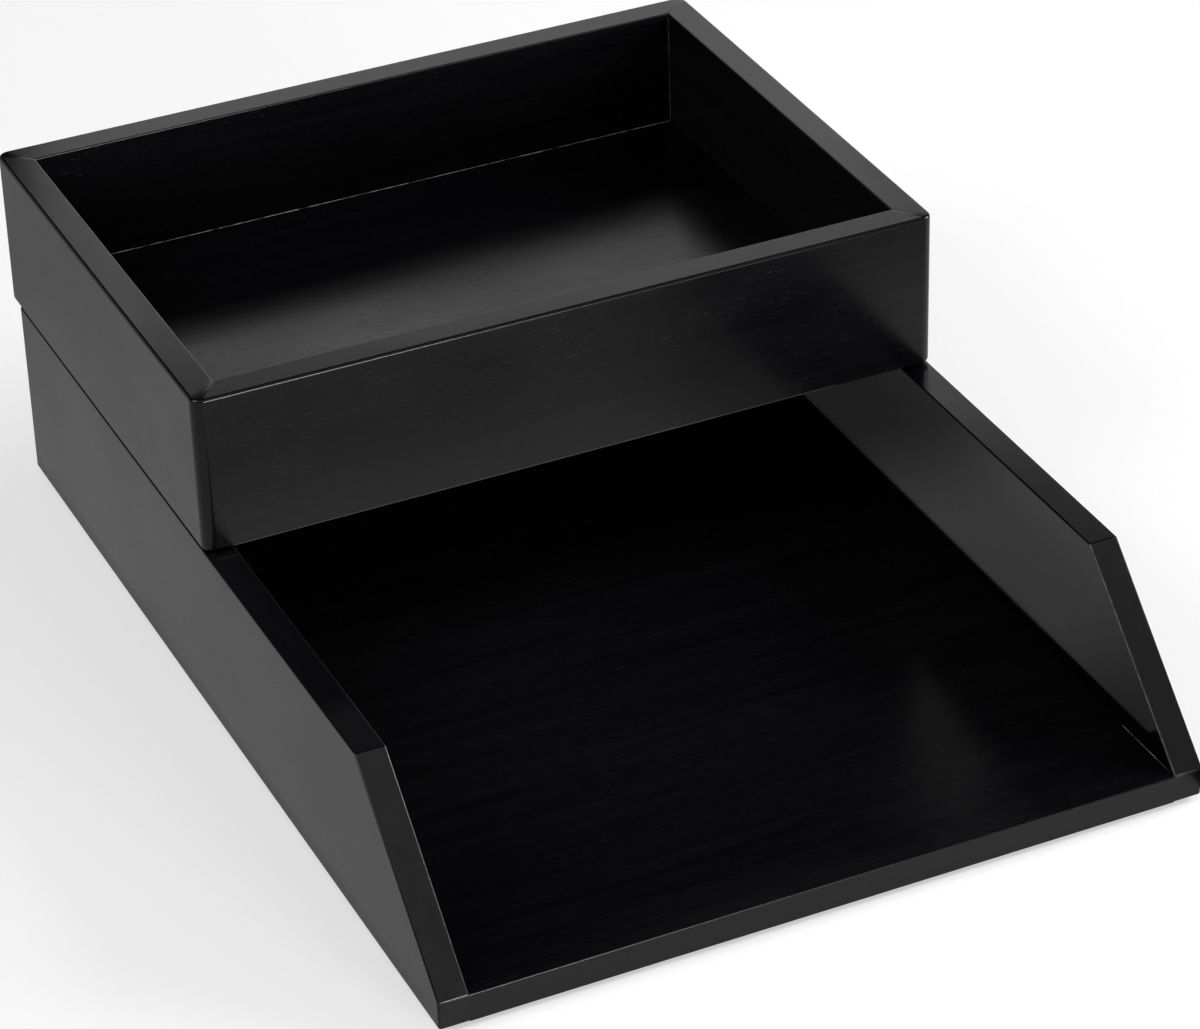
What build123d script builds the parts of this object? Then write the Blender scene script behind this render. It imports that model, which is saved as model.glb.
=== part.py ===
from build123d import *
import os
from math import sqrt

# A stack of two desk trays in black stained wood, made as separate glued boards.
# The letter tray at the bottom is open at the front, with slanted ends to its two sides.
# The supply box on top is closed on all four sides. It only rests on the letter tray's
# sides, on four thin pads, and lifts straight off.
# Every corner is a mitre with a hidden loose tenon across it. The letter tray's base board
# is tongued into its sides and back, and the box's floor panel floats in its walls' grooves.
# The origin is on the table, under the middle of the whole stack. +X is to the right,
# +Y is to the rear and +Z is up. All sizes are in millimetres.

# Letter tray
tray_width = 246.0
tray_depth = 340.8
tray_side_height = 61.0
tray_slant_run = 52.6
tray_board = 9.5
base_thickness = 9.5
tray_corner_radius = 2.5
tongue_thickness = 4.0
tongue_length = 4.0
tongue_stop = 14.0

# Supply box, and how far it stands out past the letter tray
box_depth = 179.2
box_height = 52.4
box_board = 10.0
box_rear_overhang = 6.0
box_side_overhang = 0.4
box_corner_radius = 3.8
floor_thickness = 6.0
floor_recess = 5.7
floor_tongue_thickness = 3.0
groove_depth = 4.5

# Loose tenons in the mitres
tenon_thickness = 3.0
tenon_width = 8.0
tenon_inset = 5.0
tenon_margin = 8.0

# Rounding sanded on the edges that a hand can reach
outer_ease = 1.0
inner_ease = 0.5

# Clearances left for glue and for the wood to move
glue_gap = 0.1
groove_end_gap = 0.5
floor_field_gap = 0.2

# A line or face counts as slanted when each of two parts of its direction is more than this
slant_share = 0.1

# Feet under the letter tray and pads under the box
foot_radius = 6.0
foot_height = 1.5
foot_inset = 12.0
pad_radius = 3.5
pad_height = 1.1
pad_inset = 22.0

# Places worked out from the sizes above
tray_front = -(tray_depth + box_rear_overhang) / 2
tray_rear = tray_front + tray_depth
tray_middle = (tray_front + tray_rear) / 2
tray_half_width = tray_width / 2
tray_inner_half_width = tray_half_width - tray_board
tray_inner_rear = tray_rear - tray_board
tray_low = foot_height
tray_top = tray_low + tray_side_height
base_top = tray_low + base_thickness
tongue_low = tray_low + (base_thickness - tongue_thickness) / 2

box_width = tray_width + 2 * box_side_overhang
box_half_width = box_width / 2
box_rear = tray_rear + box_rear_overhang
box_front = box_rear - box_depth
box_middle = (box_front + box_rear) / 2
box_low = tray_top + pad_height
box_top = box_low + box_height
floor_low = box_low + floor_recess
floor_top = floor_low + floor_thickness

os.makedirs("parts", exist_ok=True)


# Names a finished piece and writes its file
def save(piece, name):
    piece.part.label = name
    export_step(piece.part, f"parts/{name}.step")


# A round foot or pad, cut from sheet
def disc(name, x, y, low, radius, height):
    with BuildPart() as pad:
        with BuildSketch(Plane.XY.offset(low)):
            with Locations((x, y)):
                Circle(radius)
        extrude(amount=height)
    save(pad, name)


# A plane in the mitre of one corner. It faces across the mitre, its first axis points up,
# and its origin is where the middle of the tenon goes. side and end are -1 or 1.
def mitre_plane(side, end, inner_half_width, inner_half_depth, middle_y, middle_z):
    reach = tenon_inset / sqrt(2)
    x = side * (inner_half_width + reach)
    y = middle_y + end * (inner_half_depth + reach)
    return Plane(origin=(x, y, middle_z), x_dir=(0, 0, 1), z_dir=(side, -end, 0))


# A loose tenon, with round ends as a router bit leaves them. With a clearance it is the
# slot that the tenon is glued into.
def loose_tenon(plane, height, clearance=0.0):
    with BuildPart() as tenon:
        with BuildSketch(plane):
            SlotOverall(height + 2 * clearance, tenon_thickness + 2 * clearance)
        extrude(amount=tenon_width / 2 + clearance, both=True)
    return tenon


# Whether an edge lies along a mitre
def is_mitred(edge):
    direction = edge.tangent_at(0.5)
    slanted = min(abs(direction.X), abs(direction.Y)) > slant_share
    return edge.geom_type == GeomType.LINE and slanted


# Whether a face is the slanted end of a side
def is_slanted(face):
    normal = face.normal_at()
    return min(-normal.Y, normal.Z) > slant_share


# Letter tray: the block that its sides and back are sanded to once they are glued
with BuildPart() as tray_block:
    with BuildSketch(Plane.XY.offset(tray_low)) as tray_plan:
        with Locations((0, tray_middle)):
            Rectangle(tray_width, tray_depth)
        fillet(tray_plan.vertices().group_by(Axis.Y)[-1], tray_corner_radius)
        fillet(tray_plan.vertices().group_by(Axis.Y)[0], outer_ease)
    extrude(amount=tray_side_height)
    fillet(tray_block.faces().sort_by(Axis.Z)[0].edges(), outer_ease)

# Letter tray: the groove round three sides that takes the base board's tongue
groove_front = tray_front + tongue_stop
groove_rear = tray_inner_rear + tongue_length + groove_end_gap
with BuildPart() as base_groove:
    with BuildSketch(Plane.XY.offset(tongue_low - glue_gap)):
        with Locations((0, (groove_front + groove_rear) / 2)):
            Rectangle(
                2 * (tray_inner_half_width + tongue_length + groove_end_gap),
                groove_rear - groove_front,
            )
    extrude(amount=tongue_thickness + 2 * glue_gap)

# Letter tray: two loose tenons, one in each rear corner, and their slots
tray_tenon_height = tray_top - base_top - 2 * tenon_margin
tray_slots = {}
for name, side in (("left", -1), ("right", 1)):
    plane = mitre_plane(
        side, 1, tray_inner_half_width, tray_depth / 2 - tray_board,
        tray_middle, (base_top + tray_top) / 2,
    )
    save(loose_tenon(plane, tray_tenon_height), f"tray_tenon_rear_{name}")
    tray_slots[name] = loose_tenon(plane, tray_tenon_height, glue_gap).part


# A side of the letter tray. It is level on top, then slants down to the base board's front.
def tray_side(name, side):
    outer = side * tray_half_width
    inner = side * tray_inner_half_width
    with BuildPart() as panel:
        with BuildSketch(Plane.XY.offset(tray_low)):
            with BuildLine():
                Polyline(
                    (outer, tray_front),
                    (outer, tray_rear),
                    (inner, tray_inner_rear),
                    (inner, tray_front),
                    close=True,
                )
            make_face()
        extrude(amount=tray_side_height)
        with BuildSketch(Plane.YZ):
            with BuildLine():
                Polyline(
                    (tray_front, tray_low),
                    (tray_rear, tray_low),
                    (tray_rear, tray_top),
                    (tray_front + tray_slant_run, tray_top),
                    (tray_front, base_top),
                    close=True,
                )
            make_face()
        extrude(amount=tray_half_width, both=True, mode=Mode.INTERSECT)
        add(tray_block.part, mode=Mode.INTERSECT)
        add(base_groove.part, mode=Mode.SUBTRACT)
        add(tray_slots[name], mode=Mode.SUBTRACT)
        level = panel.faces().filter_by(Axis.Z).sort_by(Axis.Z)[-1]
        slant = panel.faces().filter_by(is_slanted)[0]
        rim = level.edges() + slant.edges()
        fillet(rim - rim.filter_by(is_mitred), inner_ease)
    save(panel, f"tray_{name}_side")


tray_side("left", -1)
tray_side("right", 1)

# Letter tray: the back, mitred between the two sides
with BuildPart() as tray_back:
    with BuildSketch(Plane.XY.offset(tray_low)):
        with BuildLine():
            Polyline(
                (-tray_half_width, tray_rear),
                (tray_half_width, tray_rear),
                (tray_inner_half_width, tray_inner_rear),
                (-tray_inner_half_width, tray_inner_rear),
                close=True,
            )
        make_face()
    extrude(amount=tray_side_height)
    add(tray_block.part, mode=Mode.INTERSECT)
    add(base_groove.part, mode=Mode.SUBTRACT)
    for slot in tray_slots.values():
        add(slot, mode=Mode.SUBTRACT)
    rim = tray_back.faces().sort_by(Axis.Z)[-1].edges()
    fillet(rim - rim.filter_by(is_mitred), inner_ease)
save(tray_back, "tray_back_panel")

# Letter tray: the base board, with a tongue on three edges that stops short of the front
with BuildPart() as tray_base:
    with BuildSketch(Plane.XY.offset(tray_low)):
        with Locations((0, (tray_front + tray_inner_rear) / 2)):
            Rectangle(2 * tray_inner_half_width, tray_inner_rear - tray_front)
    extrude(amount=base_thickness)
    front_edges = tray_base.faces().sort_by(Axis.Y)[0].edges().filter_by(Axis.X)
    fillet(front_edges, inner_ease)
    tongue_front = groove_front + glue_gap
    tongue_rear = tray_inner_rear + tongue_length
    with BuildSketch(Plane.XY.offset(tongue_low)):
        with Locations((0, (tongue_front + tongue_rear) / 2)):
            Rectangle(2 * (tray_inner_half_width + tongue_length), tongue_rear - tongue_front)
    extrude(amount=tongue_thickness)
save(tray_base, "tray_base_board")

# Letter tray: four feet under the base board, close to its corners
for end, y in (("front", tray_front + foot_inset), ("rear", tray_inner_rear - foot_inset)):
    for name, side in (("left", -1), ("right", 1)):
        x = side * (tray_inner_half_width - foot_inset)
        disc(f"tray_foot_{end}_{name}", x, y, 0, foot_radius, foot_height)

# Supply box: the block that its walls are sanded to once they are glued
with BuildPart() as box_block:
    with BuildSketch(Plane.XY.offset(box_low)) as box_plan:
        with Locations((0, box_middle)):
            Rectangle(box_width, box_depth)
        fillet(box_plan.vertices(), box_corner_radius)
    extrude(amount=box_height)
    fillet(box_block.faces().sort_by(Axis.Z)[0].edges(), outer_ease)
    fillet(box_block.faces().sort_by(Axis.Z)[-1].edges(), outer_ease)

# Supply box: the groove round the four walls that takes the floor panel
groove_margin = box_board - groove_depth
with BuildPart() as floor_groove:
    with BuildSketch(Plane.XY.offset(floor_low)):
        with Locations((0, box_middle)):
            Rectangle(box_width - 2 * groove_margin, box_depth - 2 * groove_margin)
    extrude(amount=floor_tongue_thickness + glue_gap)

# Supply box: four loose tenons, one in each corner, and their slots
box_tenon_height = box_top - floor_top - 2 * tenon_margin
box_slots = {}
for end_name, end in (("front", -1), ("rear", 1)):
    for side_name, side in (("left", -1), ("right", 1)):
        plane = mitre_plane(
            side, end, box_half_width - box_board, box_depth / 2 - box_board,
            box_middle, (floor_top + box_top) / 2,
        )
        corner = f"{end_name}_{side_name}"
        save(loose_tenon(plane, box_tenon_height), f"box_tenon_{corner}")
        box_slots[corner] = loose_tenon(plane, box_tenon_height, glue_gap).part


# A wall of the box. It starts at its left outer corner, seen from outside, and runs along
# the given direction. Its plane's second axis points into the box.
def box_wall(name, start, along, length, corners):
    outline = Plane(origin=(*start, box_low), x_dir=along, z_dir=(0, 0, 1))
    with BuildPart() as wall:
        with BuildSketch(outline):
            with BuildLine():
                Polyline(
                    (0, 0),
                    (length, 0),
                    (length - box_board, box_board),
                    (box_board, box_board),
                    close=True,
                )
            make_face()
        extrude(amount=box_height)
        add(box_block.part, mode=Mode.INTERSECT)
        add(floor_groove.part, mode=Mode.SUBTRACT)
        for corner in corners:
            add(box_slots[corner], mode=Mode.SUBTRACT)
        rim = wall.faces().sort_by(Axis.Z)[-1].edges()
        fillet(rim.sort_by_distance((0, box_middle, box_top))[0], inner_ease)
    save(wall, name)


box_wall(
    "box_front_wall", (-box_half_width, box_front), (1, 0, 0), box_width,
    ("front_left", "front_right"),
)
box_wall(
    "box_right_wall", (box_half_width, box_front), (0, 1, 0), box_depth,
    ("front_right", "rear_right"),
)
box_wall(
    "box_rear_wall", (box_half_width, box_rear), (-1, 0, 0), box_width,
    ("rear_right", "rear_left"),
)
box_wall(
    "box_left_wall", (-box_half_width, box_rear), (0, -1, 0), box_depth,
    ("rear_left", "front_left"),
)

# Supply box: the floor panel. Its thin edges lie in the grooves, short of their ends, and
# its full thickness rises between the walls.
tongue_margin = groove_margin + groove_end_gap
field_margin = box_board + floor_field_gap
with BuildPart() as box_floor:
    with BuildSketch(Plane.XY.offset(floor_low)):
        with Locations((0, box_middle)):
            Rectangle(box_width - 2 * tongue_margin, box_depth - 2 * tongue_margin)
    extrude(amount=floor_tongue_thickness)
    with BuildSketch(Plane.XY.offset(floor_low + floor_tongue_thickness)):
        with Locations((0, box_middle)):
            Rectangle(box_width - 2 * field_margin, box_depth - 2 * field_margin)
    extrude(amount=floor_thickness - floor_tongue_thickness)
save(box_floor, "box_floor_panel")

# Supply box: four pads under its side walls, which stand on the letter tray's sides
for end, y in (("front", box_front + pad_inset), ("rear", box_rear - pad_inset)):
    for name, side in (("left", -1), ("right", 1)):
        x = side * (tray_half_width - tray_board / 2)
        disc(f"box_pad_{end}_{name}", x, y, tray_top, pad_radius, pad_height)
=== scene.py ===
import math
from functools import partial

import bmesh
import bpy
from bpy.props import FloatProperty, FloatVectorProperty, IntProperty, PointerProperty
from mathutils import Matrix, Vector


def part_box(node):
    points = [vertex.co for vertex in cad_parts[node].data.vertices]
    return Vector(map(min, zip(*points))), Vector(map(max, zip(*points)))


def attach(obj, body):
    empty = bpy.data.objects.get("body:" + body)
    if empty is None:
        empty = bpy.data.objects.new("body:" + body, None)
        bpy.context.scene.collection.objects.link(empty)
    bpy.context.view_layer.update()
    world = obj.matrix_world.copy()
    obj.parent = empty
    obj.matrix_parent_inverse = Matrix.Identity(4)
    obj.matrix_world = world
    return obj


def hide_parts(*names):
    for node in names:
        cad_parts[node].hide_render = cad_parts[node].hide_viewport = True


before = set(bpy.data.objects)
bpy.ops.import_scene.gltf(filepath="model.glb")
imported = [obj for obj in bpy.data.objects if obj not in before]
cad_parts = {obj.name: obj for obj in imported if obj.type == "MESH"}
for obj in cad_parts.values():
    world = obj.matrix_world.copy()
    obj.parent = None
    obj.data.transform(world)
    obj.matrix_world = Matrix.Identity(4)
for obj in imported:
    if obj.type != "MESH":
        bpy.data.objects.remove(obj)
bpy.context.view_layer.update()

bl_info = {
    "name": "Letter tray and supply box",
    "version": (1, 0, 0),
    "blender": (4, 5, 0),
    "location": "View3D > Sidebar > Desk trays",
    "description": "Builds a stack of two black stained desk trays around its packed frame",
    "category": "Add Mesh",
}

MM = 0.001

# The photograph's camera: its place, its turn about its own line of sight, and its lens
CAMERA_PLACE = (-0.48152, -1.08914, 0.78296)
CAMERA_TARGET = (0.00569, -0.00667, 0.04074)
CAMERA_ROLL = math.radians(-1.756)
SENSOR_WIDTH = 36.0

# How light each board's stain is, from 0 to 1. This is partly how lightly each board took the
# stain and partly painted light and shade: the box's floor panel is darker for the shade inside
# the box, and the box's right wall lighter for the brighter reflection on its rim
BOARD_STAIN_AND_PAINTED_SHADE = {
    "box_front_wall": 0.04,
    "box_right_wall": 0.22,
    "box_rear_wall": 0.12,
    "box_left_wall": 0.12,
    "box_floor_panel": 0.02,
    "tray_left_side": 0.14,
    "tray_right_side": 0.04,
    "tray_back_panel": 0.20,
    "tray_base_board": 0.12,
}
# How strong the lighter line along the level inner edge of a rim is, from 0 to 1: partly thin
# stain on sanded edges and partly a painted highlight, strongest on the front and left rims
EDGE_WEAR_AND_HIGHLIGHT = {"box_front_wall": 1.0, "box_left_wall": 1.0, "box_rear_wall": 0.2}
# How far apart two boards lie in the wood's pattern, so that no two look the same
BOARD_SHIFT = (0.137, 0.293, 0.071)
LACQUER_IOR = 1.42

# Places closer than NEAR are the same place, and points closer than MERGED become one
NEAR = 1e-6
MERGED = 1e-7
# A block's corner moves this much further than the gap, because its normal slants
CORNER_REACH = 1.4
# Steps in a quarter circle of a rounded edge
EASE_STEPS = 6
# Faces that turn by less than this angle share a smooth normal
SMOOTH_WITHIN = math.cos(math.radians(30))
# Narrower strips are part of a rounded edge that can carry the lighter edge line
EDGE_LINE_STRIP = 0.28 * MM
# Rims and slants are narrower than this, and other faces without pores than the next
RIM_WIDTH = 12 * MM
NARROW = 2 * MM
# How far a normal of length 1 has to lean a way to count as facing it
LEAN = {"up": 0.05, "inward": 0.1, "forward": 0.3, "level": 0.3}
# A place that every standing board's inner face looks towards, in X and Y
STACK_MIDDLE = (0.0, 80 * MM)
# Stations along a mitred board, and the share of each half's that go round its corner
STATIONS = 41
ARC_SHARE = 0.8

# How far a disc's cut side is pulled in at most, and the two ends of a loose fibre
TUFT_DEPTH = 0.3 * MM
FIBRE_TIP, FIBRE_ROOT = 0.012 * MM, 0.03 * MM
# How far flecks of glue lie from their line, their size, and the share that fell off
FLECK_REACH = 0.28 * MM
FLECK_RADIUS = 0.16 * MM
FLECKS_GONE = 0.55

# The floor's radius, its room under the felt, and how much it glows to reach white
FLOOR_RADIUS = 6.0
FLOOR_DROP = 0.1 * MM
FLOOR_GLOW = 0.48
# Where the glowing white card stands, and how high the painted reflections beside and in the tray
# lie; the one in the tray is a painted reflection of a stack of paper
CARD_Y = 0.541
SIDE_CARD_HEIGHT = 0.5 * MM
PAINTED_SHEET_HEIGHT = 15 * MM
DOME_STEPS = 18


def linear(hex_colour):
    """Turns an sRGB hex colour into Blender's linear red, green and blue."""
    parts = [int(hex_colour[i:i + 2], 16) / 255 for i in (1, 3, 5)]
    return tuple(p / 12.92 if p <= 0.04045 else ((p + 0.055) / 1.055) ** 2.4 for p in parts)


def length(name, description, millimetres):
    """A length that a user can change, shown in the scene's own unit."""
    return FloatProperty(
        name=name, description=description, default=millimetres * MM,
        min=0.0, precision=5, subtype="DISTANCE", unit="LENGTH",
    )


def colour(name, description, hex_colour):
    """A colour that a user can change, given as an sRGB hex value."""
    return FloatVectorProperty(
        name=name, description=description, default=linear(hex_colour),
        min=0.0, max=1.0, size=3, subtype="COLOR",
    )


def share(name, description, value):
    """A share from 0 to 1 that a user can change."""
    return FloatProperty(
        name=name, description=description, default=value, min=0.0, max=1.0, subtype="FACTOR",
    )


def power(name, description, watts):
    """A lamp's power that a user can change."""
    return FloatProperty(
        name=name, description=description, default=watts, min=0.0,
        subtype="POWER", unit="POWER",
    )


class LetterTraySettings(bpy.types.PropertyGroup):
    """Sizes of the open letter tray that its frame's boxes don't give."""

    slant_run: length("Slant run", "How far back from the front the sides slant", 52.6)
    corner_radius: length("Rear corner radius", "Rounding of the two rear corners", 2.5)
    outer_ease: length("Outer ease", "Sanded rounding of the lower outer edges", 1.0)
    rim_ease: length("Rim ease", "Sanded rounding of the rim and the slants", 0.5)
    tongue_thickness: length("Tongue thickness", "Thickness of the base board's tongue", 4.0)
    tongue_length: length("Tongue length", "How far the tongue enters the sides", 4.0)
    tongue_stop: length("Tongue stop", "How far the tongue starts behind the front", 14.1)


class SupplyBoxSettings(bpy.types.PropertyGroup):
    """Sizes of the closed supply box that its frame's boxes don't give."""

    corner_radius: length("Corner radius", "Rounding of the four upright corners", 3.8)
    outer_ease: length("Outer ease", "Sanded rounding of the outer edges", 1.0)
    rim_ease: length("Inner rim ease", "Sanded rounding of the inner rim", 0.5)
    floor_edge: length("Floor edge", "Thickness of the floor panel in its groove", 3.0)
    floor_gap: length("Floor gap", "Room round the raised field of the floor panel", 0.2)


class JointSettings(bpy.types.PropertyGroup):
    """Clearances and glue in the joints of both trays."""

    mitre_gap: length("Mitre line", "Width of the dark hairline in a mitre", 0.06)
    glue_gap: length("Glue gap", "Clearance round a tenon or a tongue", 0.1)
    groove_end_gap: length("Groove end gap", "Room past the end of a tongue", 0.5)
    bead_radius: length("Glue bead", "Thickness of the dried glue along a joint", 0.16)
    fleck_spacing: length("Fleck spacing", "Distance between flecks of dried glue", 0.55)


class FeltSettings(bpy.types.PropertyGroup):
    """The felt discs under both trays."""

    fibre_length: length("Fibre length", "Length of the loose fibres round a disc", 0.9)
    fibres: IntProperty(name="Fibres", description="Loose fibres on each disc", default=260, min=0)
    felt_colour: colour("Felt", "Colour of the pressed felt", "#1b1b1d")


class FinishSettings(bpy.types.PropertyGroup):
    """Colours and gloss of the stained wood."""

    stain: colour("Stain", "Black stain where the wood takes it most", "#040306")
    stain_light: colour("Light stain", "Black stain where the wood takes it least", "#242224")
    # Partly dry stain and lacquer in the open pores, partly a painted glint off their edges
    pore_fill_and_glint: colour("Pore", "Dry stain and lacquer that catch light in the open pores", "#454242")
    # Partly thin stain on sanded edges, partly a painted highlight along the inner rim edges
    worn_and_highlit: colour("Worn edge", "Thin stain on sanded edges", "#4d4a48")
    glue: colour("Dried glue", "Dried glue and sanding dust in the joints", "#a9a7a3")
    beech: colour("Beech", "Bare beech of the loose tenons", "#c79a6b")
    gloss_roughness: share("Lacquer roughness", "How blurred the satin lacquer reflects", 0.2)


class StageSettings(bpy.types.PropertyGroup):
    """The plain studio round the trays."""

    floor_colour: colour("Floor", "Pale studio floor", "#d2d2d2")
    strip_power: power("Strip light", "Power of the strip light low in front", 17.0)
    right_power: power("Right light", "Power of the soft light on the right", 22.0)
    left_power: power("Left light", "Power of the soft light on the left", 11.0)
    ambient: share("Ambient light", "Even light from all round", 0.24)
    mirrored: share("Mirrored white", "How much of the floor's white reflections see", 0.25)
    lens: FloatProperty(
        name="Lens", description="Focal length of the photograph's camera in mm", default=135.01,
        min=1.0, subtype="DISTANCE_CAMERA",
    )


class DeskTraySettings(bpy.types.PropertyGroup):
    """Everything about the stack that a user can change."""

    tray: PointerProperty(name="Tray", description="Letter tray", type=LetterTraySettings)
    box: PointerProperty(name="Box", description="Supply box", type=SupplyBoxSettings)
    joints: PointerProperty(name="Joints", description="Joints", type=JointSettings)
    felt: PointerProperty(name="Felt", description="Felt discs", type=FeltSettings)
    finish: PointerProperty(name="Finish", description="Stained wood", type=FinishSettings)
    stage: PointerProperty(name="Stage", description="Studio", type=StageSettings)


def node(tree, kind, inputs=None, **settings):
    """Adds a node. A value given for an input is set there; a node or a socket is linked to it."""
    made = tree.nodes.new(kind)
    for key, value in settings.items():
        setattr(made, key, value)
    for key, value in (inputs or {}).items():
        if isinstance(value, bpy.types.Node):
            value = next(s for s in value.outputs if s.enabled)
        if isinstance(value, bpy.types.NodeSocket):
            tree.links.new(value, made.inputs[key])
        else:
            made.inputs[key].default_value = value
    return made


def math_node(tree, operation, *values, **settings):
    """An operation on one to three numbers."""
    return node(tree, "ShaderNodeMath", dict(enumerate(values)), operation=operation, **settings)


def vector_node(tree, operation, a, b):
    """An operation on two vectors."""
    return node(tree, "ShaderNodeVectorMath", {0: a, 1: b}, operation=operation)


def ranged(tree, value, low, high, to_low=0.0, to_high=1.0, **settings):
    """Stretches a value's range from low to high onto a new range."""
    return node(
        tree, "ShaderNodeMapRange",
        {"Value": value, "From Min": low, "From Max": high, "To Min": to_low, "To Max": to_high},
        **settings,
    )


def noise(tree, place, scale, detail, distortion=0.0):
    """Soft noise, with a scale in steps per metre."""
    return node(
        tree, "ShaderNodeTexNoise",
        {"Vector": place, "Scale": scale, "Detail": detail, "Distortion": distortion},
    )


def blend(tree, factor, first, second):
    """The colour between two others, each given as red, green and blue or as a socket."""
    first, second = (
        c if isinstance(c, bpy.types.NodeSocket) else (*c, 1) for c in (first, second)
    )
    mix = node(tree, "ShaderNodeMix", {"Factor": factor, 6: first, 7: second}, data_type="RGBA")
    return mix.outputs[2]


def object_place(tree):
    """Where a point lies on its object, in metres."""
    return node(tree, "ShaderNodeTexCoord").outputs["Object"]


def mark(tree, name):
    """A number that finish_board left on the mesh."""
    return node(tree, "ShaderNodeAttribute", attribute_name=name).outputs["Fac"]


def new_material(name):
    """A material without nodes, and its node tree."""
    material = bpy.data.materials.new(name)
    material.use_nodes = True
    material.node_tree.nodes.clear()
    return material, material.node_tree


def surface(tree, shade, roughness, depth, distance, constants=None):
    """Ends a material's tree: a shader whose relief is a pattern's depth times a distance."""
    bump = node(tree, "ShaderNodeBump", {"Distance": distance, "Height": depth})
    shader = node(
        tree, "ShaderNodeBsdfPrincipled",
        {"Base Color": shade, "Roughness": roughness, "Normal": bump, **(constants or {})},
    )
    node(tree, "ShaderNodeOutputMaterial", {"Surface": shader})


def per_metre(axis, along, across):
    """Pattern steps per metre for a grain along one axis, from its sizes in millimetres."""
    steps = [1 / (across * MM)] * 3
    steps[axis] = 1 / (along * MM)
    return steps


def stained_wood(name, axis):
    """Rubberwood, planed, sanded, stained black and sprayed with satin lacquer.

    To the eye it is a black that is never quite even: the lacquer blurs what it reflects, open
    pores show as short light flecks along the grain, partly as a painted glint, and sanded inner
    rim edges carry a thin lighter line, partly a painted highlight. Each board's lightness is
    partly painted light and shade.
    """
    finish = bpy.context.scene.desk_trays.finish
    material, tree = new_material(name)
    times, plus = partial(math_node, tree, "MULTIPLY"), partial(math_node, tree, "ADD")
    between = partial(ranged, tree)
    place = object_place(tree)
    number = node(tree, "ShaderNodeAttribute", attribute_name="board_number").outputs["Vector"]
    place = vector_node(tree, "ADD", place, vector_node(tree, "MULTIPLY", number, BOARD_SHIFT))

    def pattern(along, across, detail, distortion=0.0):
        """Noise drawn out along the grain, with its sizes in millimetres."""
        steps = vector_node(tree, "MULTIPLY", place, per_metre(axis, along, across))
        return noise(tree, steps, 1.0, detail, distortion)

    # Growth figure: bands 9 mm wide and 140 mm long, and streaks 1.4 mm wide
    figure = pattern(140.0, 9.0, 3.0, 0.8)
    streaks = pattern(70.0, 1.4, 3.0)
    # Pores are 0.1 to 0.2 mm wide and 2 to 5 mm long, and denser in some patches. They are
    # drawn 0.24 mm wide, because thinner ones don't show. The rims were sanded and sprayed
    # until theirs were full.
    pores = times(
        between(pattern(3.2, 0.24, 0.0), 0.71, 0.82),
        between(pattern(30.0, 12.0, 2.0), 0.35, 0.65, 0.35, 1.0),
    )
    pores = times(pores, mark(tree, "porous"))
    # Lacquer: soft clouds 60 mm by 32 mm where it dried duller, and ripples 9 mm by 7 mm
    clouds = pattern(60.0, 32.0, 3.0)
    ripples = pattern(9.0, 7.0, 1.0)

    uneven = plus(between(figure, 0.3, 0.7, -0.06, 0.06), between(streaks, 0.3, 0.7, -0.05, 0.05))
    # Each board's lightness is partly its stain and partly painted light and shade
    tone = plus(mark(tree, "board_tone"), uneven, use_clamp=True)
    shade = blend(tree, tone, finish.stain, finish.stain_light)
    # Pores are painted lighter, partly dry stain and lacquer in them and partly a painted glint
    # off their edges; more so where the stain is light
    shade = blend(tree, times(pores, between(tone, 0.0, 1.0, 0.10, 0.45)), shade, finish.pore_fill_and_glint)
    # Inner rim edges carry a lighter line in streaks 6 mm long, partly thin stain on sanded edges
    # and partly a painted highlight
    worn_and_highlit = times(mark(tree, "worn_and_highlit"), between(pattern(6.0, 2.4, 2.0), 0.35, 0.6, 0.4, 1.0))
    shade = blend(tree, worn_and_highlit, shade, finish.worn_and_highlit)

    satin = finish.gloss_roughness
    rough = plus(between(clouds, 0.3, 0.7, satin - 0.04, satin + 0.05), times(pores, 0.09))
    # Relief in millimetres: ripples and streaks stand up, and pores sink in
    depth = plus(times(ripples, 0.010), times(pores, -0.012))
    depth = plus(depth, times(streaks, 0.006))
    surface(tree, shade, rough, depth, MM, {"IOR": LACQUER_IOR})
    return material


def dried_glue():
    """PVA glue squeezed out of a joint, dried and dusted while the boards were sanded.

    To the eye it is a broken pale grey line, matt, and patchy where stain ran over it.
    """
    finish = bpy.context.scene.desk_trays.finish
    material, tree = new_material("dried_pva_glue_dusted")
    place = object_place(tree)
    # Patches of stain about 4 mm long, and grit of 0.3 mm
    cover = ranged(tree, noise(tree, place, 1 / (4 * MM), 3.0), 0.42, 0.62)
    grit = noise(tree, place, 1 / (0.3 * MM), 2.0)
    surface(tree, blend(tree, cover, finish.glue, finish.stain_light), 0.8, grit, 0.08 * MM)
    return material


def pressed_felt():
    """Wool felt, needled and pressed, cut into discs.

    To the eye it is a soft dull black with lighter loose fibres and no highlight.
    """
    felt = bpy.context.scene.desk_trays.felt
    material, tree = new_material("pressed_wool_felt_black")
    place = object_place(tree)
    # Fibres 0.25 mm apart, in tufts of 1.5 mm
    fibres = noise(tree, place, 1 / (0.25 * MM), 3.0, 1.5)
    tufts = noise(tree, place, 1 / (1.5 * MM), 2.0)
    tone = ranged(tree, math_node(tree, "MULTIPLY", fibres, tufts), 0.12, 0.42)
    light = tuple(min(1.0, 3.2 * c) for c in felt.felt_colour)
    surface(
        tree, blend(tree, tone, felt.felt_colour, light), 0.95, fibres, 0.15 * MM,
        {"Sheen Weight": 0.35, "Sheen Roughness": 0.6},
    )
    return material


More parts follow.
